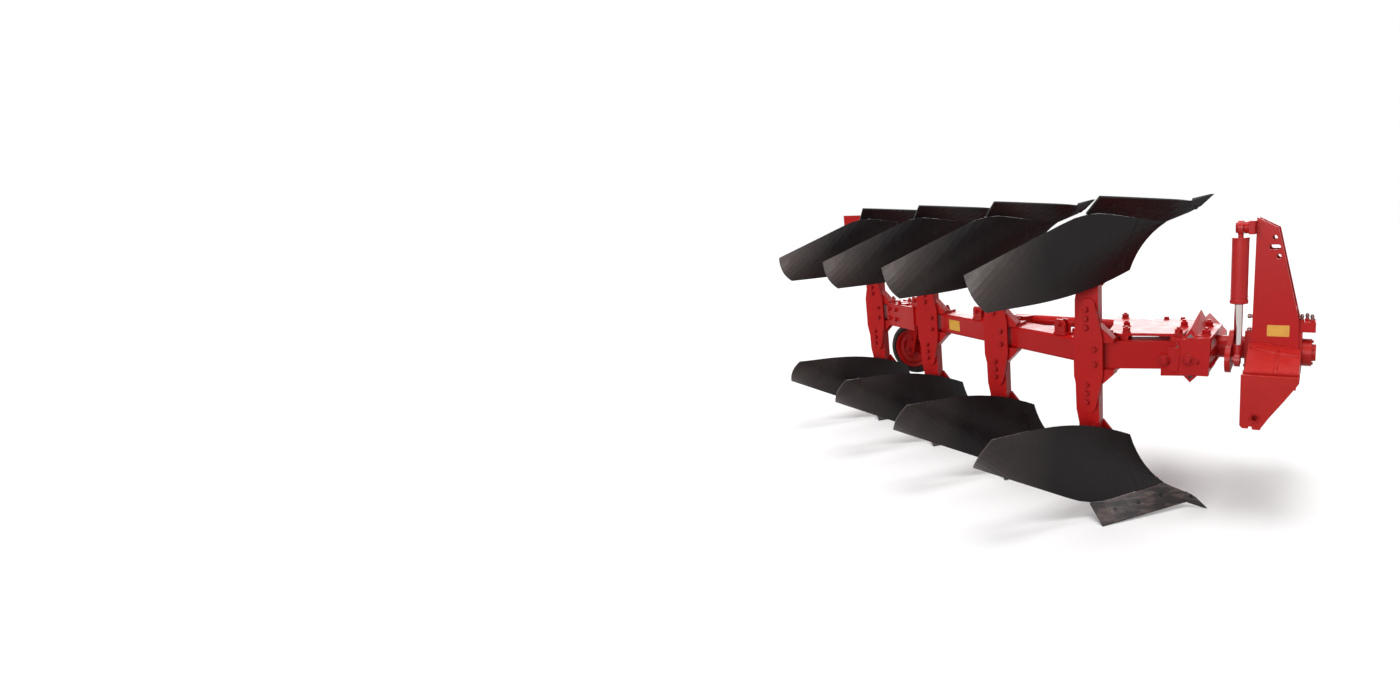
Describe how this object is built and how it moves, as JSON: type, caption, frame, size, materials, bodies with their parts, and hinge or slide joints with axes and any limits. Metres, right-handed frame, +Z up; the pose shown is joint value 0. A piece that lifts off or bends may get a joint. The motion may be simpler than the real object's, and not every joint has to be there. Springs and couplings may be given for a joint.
{
  "type": "four-furrow reversible mounted plough",
  "caption": "Reversible mounted plough with mirrored lower and upper mouldboard bodies on a slanted beam, a turnover headstock with its cylinder, and a swinging depth wheel",
  "frame": {"origin": "on the ground, under the centre of the machine's bounding box", "axes": "+X is the direction of travel towards the tractor, +Y is to the left, +Z is up"},
  "size_m": [3.7764, 2.3465, 1.65],
  "materials": {
    "frame_red": "gloss red paint",
    "body_black": "dark charcoal paint on hardened steel",
    "rod_chrome": "hard chromed piston rod",
    "tyre": "dark rubber"
  },
  "bodies": {
    "headstock": {"headstock_housing": "frame_red", "front_hub": "frame_red", "hydraulic_block": "frame_red", "mast_plates": "frame_red", "mast_webs": "frame_red", "cylinder_bracket": "frame_red", "hitch_arm_right": "frame_red", "hitch_arm_left": "frame_red", "hitch_clevis_right": "frame_red", "hitch_clevis_left": "frame_red"},
    "frame": {"turnover_shaft": "frame_red", "turnover_crank": "frame_red", "cross_tube": "frame_red", "head_plate": "frame_red", "head_saddle": "frame_red", "front_arm": "frame_red", "top_strap": "frame_red", "main_beam": "frame_red", "brace": "frame_red", "leg_1": "frame_red", "leg_2": "frame_red", "leg_3": "frame_red", "leg_4": "frame_red", "leg_clamps": "frame_red", "frogs_lower": "frame_red", "frogs_upper": "frame_red", "mouldboard_lower_1": "body_black", "mouldboard_lower_2": "body_black", "mouldboard_lower_3": "body_black", "mouldboard_lower_4": "body_black", "mouldboard_upper_1": "body_black", "mouldboard_upper_2": "body_black", "mouldboard_upper_3": "body_black", "mouldboard_upper_4": "body_black", "shins_lower": "body_black", "shins_upper": "body_black", "shares_lower": "body_black", "shares_upper": "body_black", "points_lower": "body_black", "points_upper": "body_black", "landsides_lower": "frame_red", "landsides_upper": "frame_red", "wheel_bracket": "frame_red"},
    "wheel_arm": {"wheel_arm": "frame_red"},
    "wheel": {"wheel_rim": "frame_red", "wheel_tyre": "tyre"},
    "barrel": {"cylinder_barrel": "frame_red"},
    "rod": {"cylinder_rod": "rod_chrome"}
  },
  "joints": [
    {"name": "turnover", "type": "hinge", "parent": "headstock", "child": "frame", "pos_m": [1.58719, -0.10635, 0.825], "axis": [1, 0, 0], "range_deg": [0, 180]},
    {"name": "cylinder_swing", "type": "hinge", "parent": "headstock", "child": "barrel", "pos_m": [1.49919, -0.26635, 1.48], "axis": [1, 0, 0], "range_deg": [0, 27.45]},
    {"name": "rod_slide", "type": "slide", "parent": "barrel", "child": "rod", "axis": [0, 0, -1], "range_m": [-0.1845, 0]},
    {"name": "depth_wheel_swing", "type": "hinge", "parent": "frame", "child": "wheel_arm", "pos_m": [-1.28615, 1.00925, 0.825], "axis": [0, 1, 0], "range_deg": [0, 150]},
    {"name": "depth_wheel_spin", "type": "hinge", "parent": "wheel_arm", "child": "wheel", "pos_m": [-1.38554, 1.10325, 0.45408], "axis": [0, 1, 0], "continuous": true}
  ],
  "couplings": [
    {"joint": "cylinder_swing", "follows": "rod_slide", "rad_per_m": -1.2986}
  ]
}
